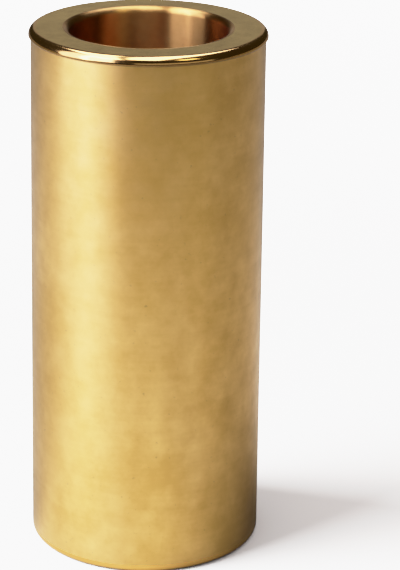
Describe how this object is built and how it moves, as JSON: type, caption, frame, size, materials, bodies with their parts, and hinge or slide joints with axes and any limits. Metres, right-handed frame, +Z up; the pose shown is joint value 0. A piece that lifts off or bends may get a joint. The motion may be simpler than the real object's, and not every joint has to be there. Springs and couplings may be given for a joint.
{
  "type": "guitar slide",
  "caption": "Heavy-walled brass tube worn over a finger to play slide guitar: satin barrel, through bore, rounded ends, and a polished rim that stands slightly proud at the upper end.",
  "frame": {"origin": "centre of the lower end face, on the bore's axis, on the surface that the slide stands on", "axes": "+Z up along the bore's axis, X and Y across it; the front is -Y, and the slide is round about Z"},
  "size_m": [0.0264, 0.0264, 0.06],
  "materials": {
    "brass": "satin barrel brushed around its circumference, satin end faces, polished outer edges and bore"
  },
  "bodies": {
    "root": {"slide_tube": "brass"}
  },
  "joints": []
}
